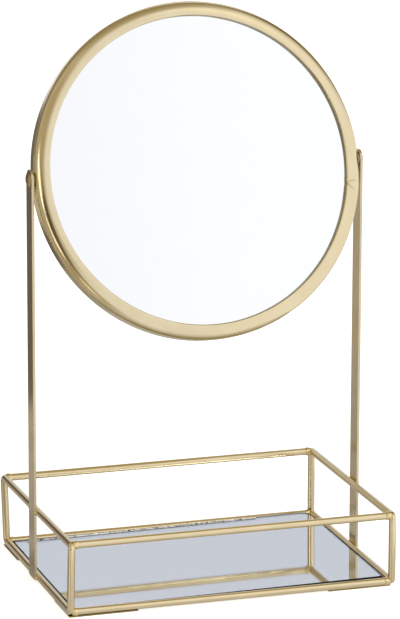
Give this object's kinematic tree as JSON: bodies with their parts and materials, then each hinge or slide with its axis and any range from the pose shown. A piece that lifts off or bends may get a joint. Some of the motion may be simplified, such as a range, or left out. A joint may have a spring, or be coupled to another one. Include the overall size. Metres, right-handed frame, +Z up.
{
  "type": "tilting vanity mirror on a wire tray",
  "caption": "Round tabletop mirror that tilts on two side pivots, carried by flat uprights on an open wire tray with a mirrored glass floor.",
  "frame": {"origin": "on the table, under the middle of the tray", "axes": "+Z up, the mirror faces -Y, +X to the viewer's right as they look into it"},
  "size_m": [0.2488, 0.1782, 0.4059],
  "materials": {
    "gold_metal": "satin",
    "mirror_glass": "polished",
    "nylon": "matte",
    "clear_pad": "matte",
    "foam": "matte"
  },
  "bodies": {
    "stand": {"left_side_hoop": "gold_metal", "left_upright": "gold_metal", "right_side_hoop": "gold_metal", "right_upright": "gold_metal", "front_top_rail": "gold_metal", "front_bottom_rail": "gold_metal", "corner_plate_front_left": "gold_metal", "glass_pad_front_left": "clear_pad", "corner_plate_front_right": "gold_metal", "glass_pad_front_right": "clear_pad", "back_top_rail": "gold_metal", "back_bottom_rail": "gold_metal", "corner_plate_back_left": "gold_metal", "glass_pad_back_left": "clear_pad", "corner_plate_back_right": "gold_metal", "glass_pad_back_right": "clear_pad", "rail_weld_beads": "gold_metal", "upright_weld_beads": "gold_metal", "tray_mirror_glass": "mirror_glass"},
    "mirror_head": {"mirror_ring": "gold_metal", "back_cover": "gold_metal", "mirror_glass": "mirror_glass", "backing_pad": "foam", "left_pivot_boss": "gold_metal", "left_pivot_screw": "gold_metal", "left_friction_washer": "nylon", "right_pivot_boss": "gold_metal", "right_pivot_screw": "gold_metal", "right_friction_washer": "nylon"}
  },
  "joints": [
    {"name": "mirror_tilt", "type": "hinge", "parent": "stand", "child": "mirror_head", "pos_m": [0, 0.002, 0.292], "axis": [1, 0, 0], "continuous": true}
  ]
}
